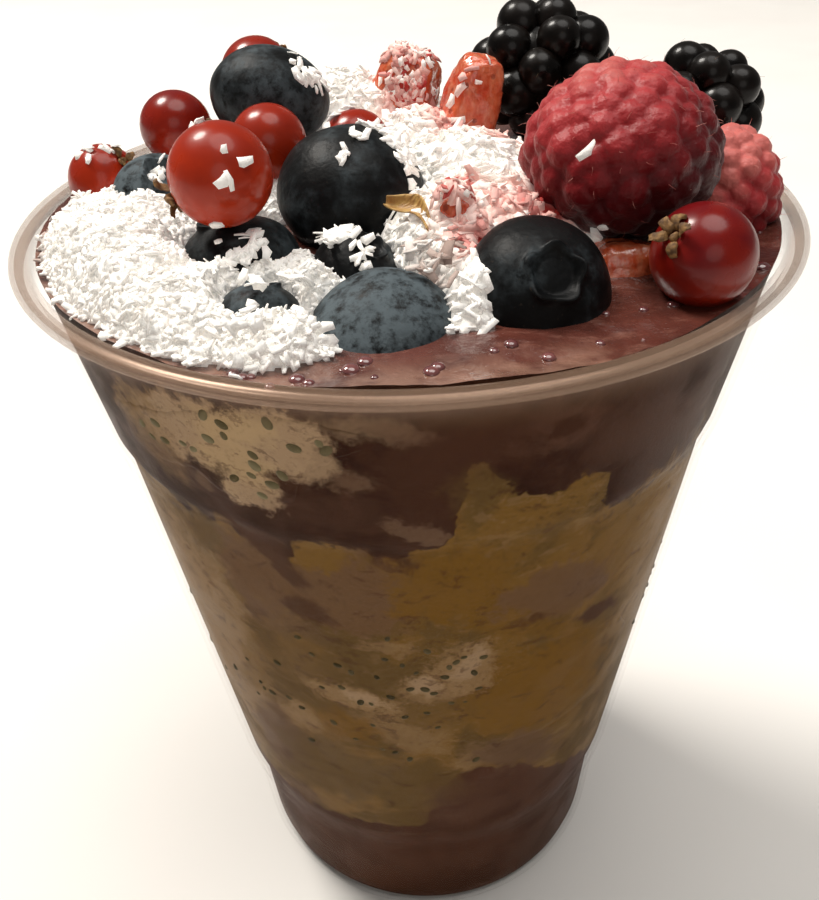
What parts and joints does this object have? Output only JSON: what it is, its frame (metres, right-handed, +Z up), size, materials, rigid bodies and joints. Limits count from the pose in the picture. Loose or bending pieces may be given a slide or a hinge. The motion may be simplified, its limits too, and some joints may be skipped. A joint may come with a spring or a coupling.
{
  "type": "acai cup",
  "caption": "Clear plastic tumbler filled to the brim with layers of acai, chia pudding and mango, heaped with berries, strawberry pieces and shredded coconut.",
  "frame": {"origin": "middle of the tumbler's foot, on the plane it stands on", "axes": "+Z up along the tumbler's axis; the side seen in the picture faces -Y"},
  "size_m": [0.0976, 0.0976, 0.1319],
  "materials": {
    "clear_plastic": "thin clear moulded plastic, glossy",
    "acai": "thick wet fruit puree, smooth and glossy where it shows on top",
    "chia_pudding": "beige milk pudding with small grey-green seeds",
    "mango": "ochre fruit puree, slightly translucent",
    "blueberry": "dark skin with a dusty grey-blue bloom",
    "redcurrant": "glossy translucent red skin with a dried tan tuft",
    "raspberry": "soft crimson drupelets with a light bloom",
    "bramble": "glossy near-black drupelets",
    "strawberry": "wet cut fruit, orange-red",
    "coconut": "dry white shreds"
  },
  "bodies": {
    "root": {"cup": "clear_plastic", "blueberry_1": "blueberry", "blueberry_2": "blueberry", "blueberry_3": "blueberry", "blueberry_4": "blueberry", "blueberry_5": "blueberry", "blueberry_6": "blueberry", "blueberry_7": "blueberry", "blueberry_8": "blueberry", "redcurrant_1": "redcurrant", "redcurrant_2": "redcurrant", "redcurrant_3": "redcurrant", "redcurrant_4": "redcurrant", "redcurrant_5": "redcurrant", "redcurrant_6": "redcurrant", "redcurrant_7": "redcurrant", "raspberry_1": "raspberry", "raspberry_2": "raspberry", "bramble_1": "bramble", "bramble_2": "bramble", "strawberry_1": "strawberry", "strawberry_2": "strawberry", "strawberry_3": "strawberry", "strawberry_4": "strawberry", "acai_base": "acai", "pudding_layer": "chia_pudding", "mango_layer": "mango", "acai_top": "acai", "pudding_patch": "chia_pudding", "mango_patch": "mango", "coconut_left": "coconut", "coconut_centre": "coconut", "coconut_rear": "coconut"}
  },
  "joints": []
}
